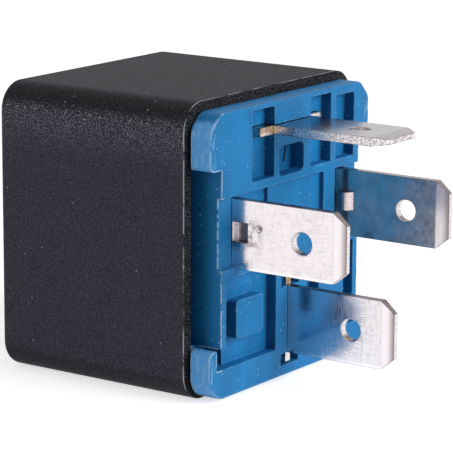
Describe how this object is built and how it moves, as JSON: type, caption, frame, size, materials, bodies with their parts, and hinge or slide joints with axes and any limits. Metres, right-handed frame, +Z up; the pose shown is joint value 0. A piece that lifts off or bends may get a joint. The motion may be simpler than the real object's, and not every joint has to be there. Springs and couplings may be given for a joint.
{
  "type": "automotive relay",
  "caption": "Plug-in automotive relay with a black square cover, a blue moulded base and flat blade terminals, lying on one side.",
  "frame": {"origin": "middle of the cover's underside, on the surface that the relay lies on", "axes": "+X towards the terminals, +Z up from the side it lies on, +Y across"},
  "size_m": [0.0348, 0.0266, 0.0269],
  "materials": {
    "cover": "fine grained black moulded plastic",
    "base": "mid blue moulded plastic",
    "terminal_30": "tin-plated sheet, brushed",
    "terminal_85": "tin-plated sheet, brushed",
    "terminal_86": "tin-plated sheet, brushed",
    "terminal_87": "tin-plated sheet, brushed",
    "coil_bobbin": "moulded natural plastic",
    "coil_winding": "enamelled copper wire",
    "coil_tape": "clear amber film",
    "coil_core": "nickel-plated soft iron",
    "coil_lead_85": "tinned copper wire",
    "coil_lead_86": "tinned copper wire",
    "yoke": "zinc-plated soft iron",
    "armature": "zinc-plated soft iron",
    "contact_blade": "copper alloy spring strip",
    "contact_blade_rivets": "brass",
    "moving_contact": "silver alloy",
    "fixed_contact": "silver alloy",
    "open_stop": "plain sheet",
    "return_spring": "bright spring wire",
    "contact_braid": "bare copper braid"
  },
  "bodies": {
    "relay": {"cover": "cover", "base": "base", "terminal_30": "terminal_30", "terminal_85": "terminal_85", "terminal_86": "terminal_86", "terminal_87": "terminal_87", "coil_bobbin": "coil_bobbin", "coil_winding": "coil_winding", "coil_tape": "coil_tape", "coil_core": "coil_core", "coil_lead_85": "coil_lead_85", "coil_lead_86": "coil_lead_86", "yoke": "yoke", "fixed_contact": "fixed_contact", "open_stop": "open_stop", "return_spring": "return_spring", "contact_braid": "contact_braid"},
    "armature": {"armature": "armature", "contact_blade": "contact_blade", "contact_blade_rivets": "contact_blade_rivets", "moving_contact": "moving_contact"}
  },
  "joints": [
    {"name": "armature_hinge", "type": "hinge", "parent": "relay", "child": "armature", "pos_m": [-0.00545, 0, 0.0036], "axis": [0, 1, 0], "range_deg": [0, 2.6], "stiffness_Nm_per_rad": 0.002, "springref_deg": -28.65}
  ]
}
